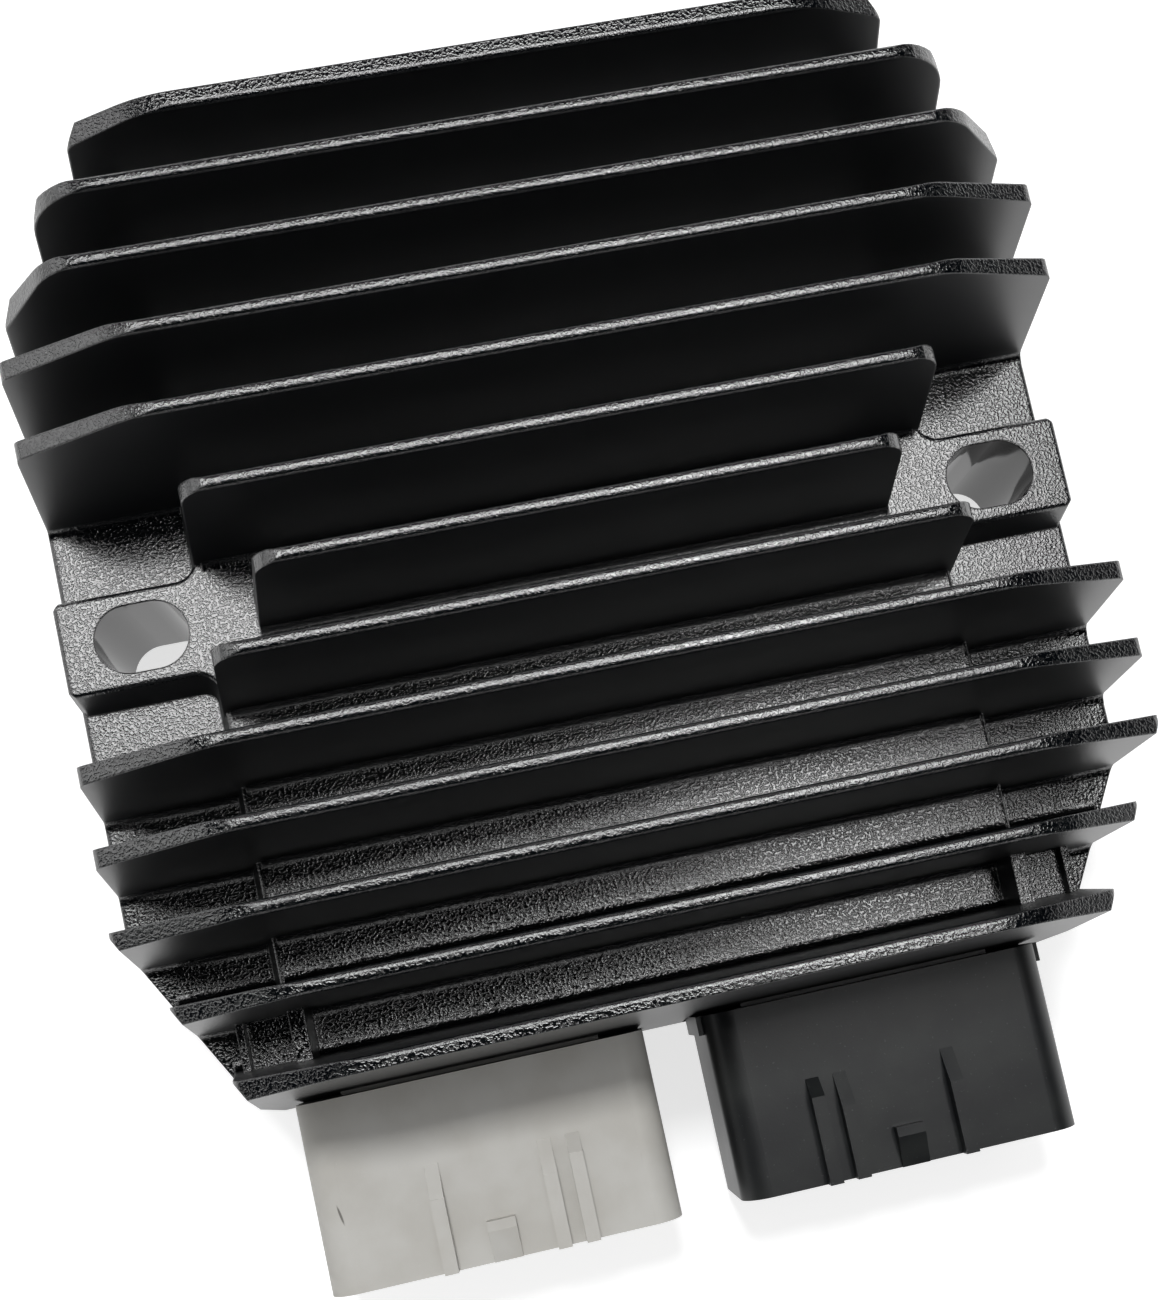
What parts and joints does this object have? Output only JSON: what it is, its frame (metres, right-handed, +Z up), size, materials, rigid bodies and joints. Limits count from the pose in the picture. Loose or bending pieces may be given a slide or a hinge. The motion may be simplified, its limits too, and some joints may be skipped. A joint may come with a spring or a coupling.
{
  "type": "voltage regulator rectifier",
  "caption": "Finned die-cast regulator rectifier with two bolt ears and two side-by-side blade connectors, potted on its underside.",
  "frame": {"origin": "midway between the two mounting slots, on the flat mounting face", "axes": "+X along the cooling fins and from slot to slot, +Y away from the connectors, +Z up from the mounting face to the fin tops"},
  "size_m": [0.1068, 0.1194, 0.035],
  "materials": {
    "black_paint": "satin black coating with a fine orange-peel texture on a die casting",
    "grey_plastic": "matte moulded plastic",
    "black_plastic": "matte moulded plastic",
    "tinned_brass": "tin plate",
    "thermal_pad": "matte",
    "board_green": "satin solder mask",
    "board_blue": "satin solder mask",
    "screw_steel": "zinc plate",
    "pin_brass": "bright",
    "chip_black": "matte",
    "device_black": "matte",
    "can_aluminium": "satin",
    "resin_black": "cast resin with a soft sheen"
  },
  "bodies": {
    "root": {"heat_sink_casting": "black_paint", "grey_connector_housing": "grey_plastic", "black_connector_housing": "black_plastic", "grey_terminal_left": "tinned_brass", "grey_terminal_right": "tinned_brass", "black_terminal_left": "tinned_brass", "black_terminal_middle": "tinned_brass", "black_terminal_right": "tinned_brass", "insulating_sheet": "thermal_pad", "power_board": "board_green", "board_screws": "screw_steel", "thyristor_1": "device_black", "thyristor_2": "device_black", "thyristor_3": "device_black", "diode_1": "device_black", "diode_2": "device_black", "diode_3": "device_black", "control_board": "board_blue", "board_pins": "pin_brass", "control_chip": "chip_black", "sense_resistors": "chip_black", "filter_capacitor": "can_aluminium", "potting_compound": "resin_black"}
  },
  "joints": []
}
